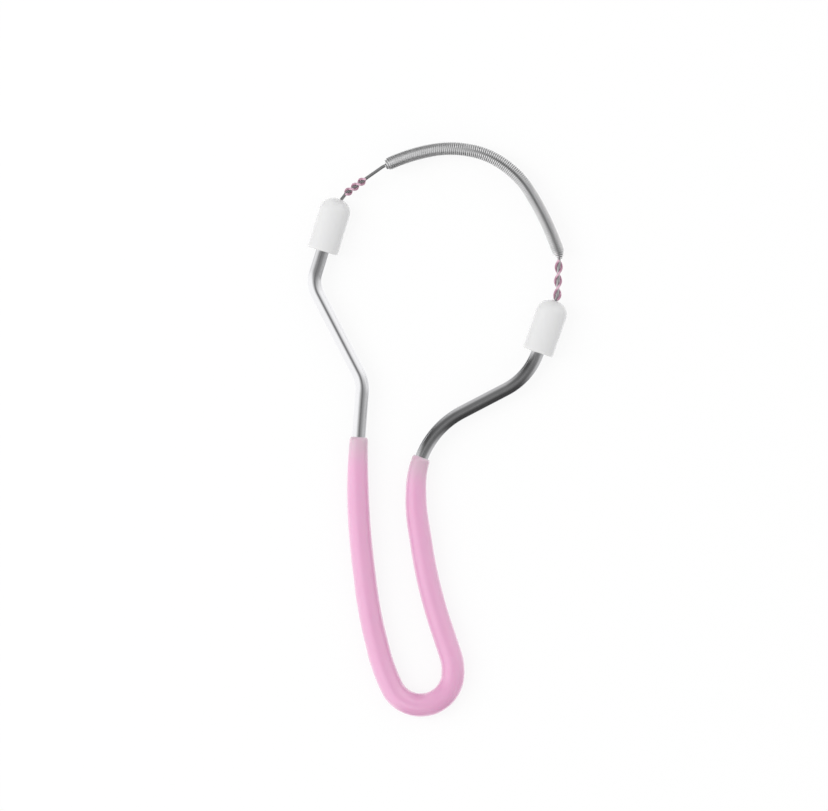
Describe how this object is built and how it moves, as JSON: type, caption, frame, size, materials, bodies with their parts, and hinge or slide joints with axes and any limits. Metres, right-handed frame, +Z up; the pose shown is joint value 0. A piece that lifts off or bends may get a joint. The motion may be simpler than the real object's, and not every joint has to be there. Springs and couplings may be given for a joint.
{
  "type": "facial hair removal spring",
  "caption": "Steel wire bow with a pink dipped grip, holding a close-wound coil spring in an arc between two white end caps.",
  "frame": {"origin": "middle of the underside of the piece as it lies flat", "axes": "+Y from the grip loop towards the coil, +X from the left arm towards the right arm, +Z up out of the bow's plane"},
  "size_m": [0.0504, 0.1118, 0.0062],
  "materials": {
    "bow_steel": "polished stainless steel",
    "coil_steel": "bright spring steel",
    "core_steel": "drawn wire",
    "binding_wire": "mauve enamelled wire",
    "pink_vinyl": "soft dipped vinyl, glossy",
    "white_plastic": "moulded, slightly translucent"
  },
  "bodies": {
    "root": {"bow_wire": "bow_steel", "grip": "pink_vinyl", "left_cap": "white_plastic", "right_cap": "white_plastic", "left_stop": "core_steel", "right_stop": "core_steel", "core_wire": "core_steel", "coil_spring": "coil_steel", "left_wrap": "binding_wire", "right_wrap": "binding_wire"}
  },
  "joints": []
}
